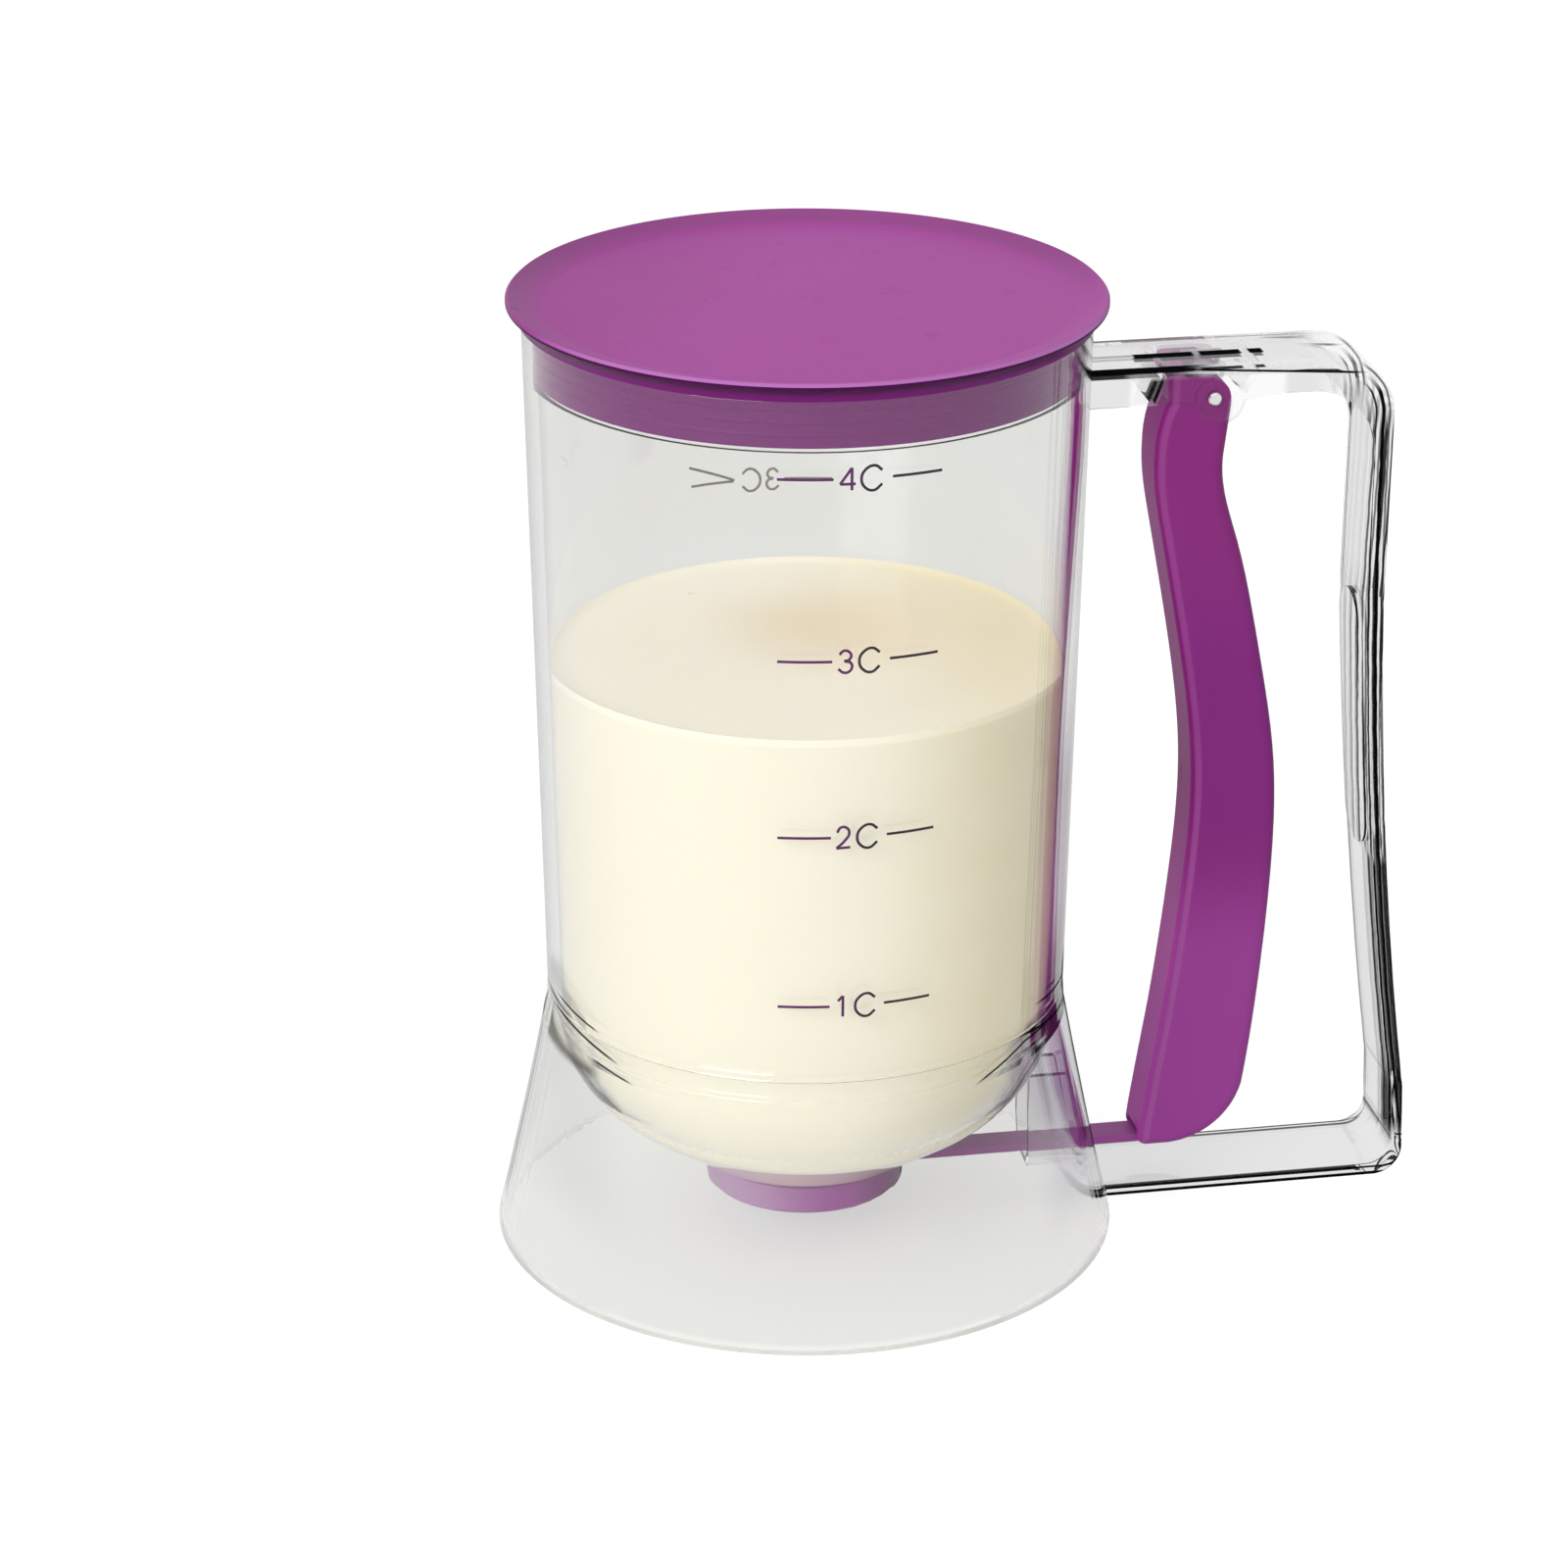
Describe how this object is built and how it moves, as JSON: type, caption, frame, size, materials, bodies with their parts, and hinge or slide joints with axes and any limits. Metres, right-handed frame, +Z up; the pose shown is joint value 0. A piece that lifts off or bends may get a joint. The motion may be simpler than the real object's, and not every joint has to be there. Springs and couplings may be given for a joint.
{
  "type": "pancake batter dispenser",
  "caption": "Clear funnel-shaped batter dispenser with a purple press-in lid, a squeeze lever inside its clear handle, a sliding outlet gate and batter in the bowl.",
  "frame": {"origin": "centre of the stand ring's lower rim, in the plane the dispenser stands on", "axes": "+Z up along the funnel's axis, +X from the bowl to the handle, -Y the side with the cup marks"},
  "size_m": [0.1712, 0.115, 0.1796],
  "materials": {
    "clear_plastic": "clear polished styrene plastic",
    "lid_plastic": "satin purple plastic",
    "lever_plastic": "glossy purple plastic",
    "pin_steel": "bright plated steel",
    "spring_steel": "drawn spring wire",
    "seal_rubber": "translucent silicone",
    "batter": "wet pale batter"
  },
  "bodies": {
    "cup": {"container": "clear_plastic", "base_skirt": "clear_plastic", "handle_frame": "clear_plastic", "pivot_pin": "pin_steel", "return_spring": "spring_steel", "valve_cap": "lever_plastic", "outlet_seal": "seal_rubber", "batter_fill": "batter"},
    "lid": {"lid": "lid_plastic"},
    "lever": {"trigger": "lever_plastic", "link_pin": "pin_steel"},
    "gate": {"gate_slider": "lever_plastic"}
  },
  "joints": [
    {"name": "lid_lift", "type": "slide", "parent": "cup", "child": "lid", "axis": [0, 0, 1], "range_m": [0, 0.05]},
    {"name": "trigger_squeeze", "type": "hinge", "parent": "cup", "child": "lever", "pos_m": [0.0722, 0, 0.1583], "axis": [0, -1, 0], "range_deg": [0, 6.3], "stiffness_Nm_per_rad": 0.15, "springref_deg": -28.65, "deforming": ["return_spring"]},
    {"name": "gate_slide", "type": "slide", "parent": "cup", "child": "gate", "axis": [1, 0, 0], "range_m": [0, 0.0158]}
  ],
  "couplings": [
    {"joint": "gate_slide", "follows": "trigger_squeeze", "m_per_rad": 0.14349}
  ]
}
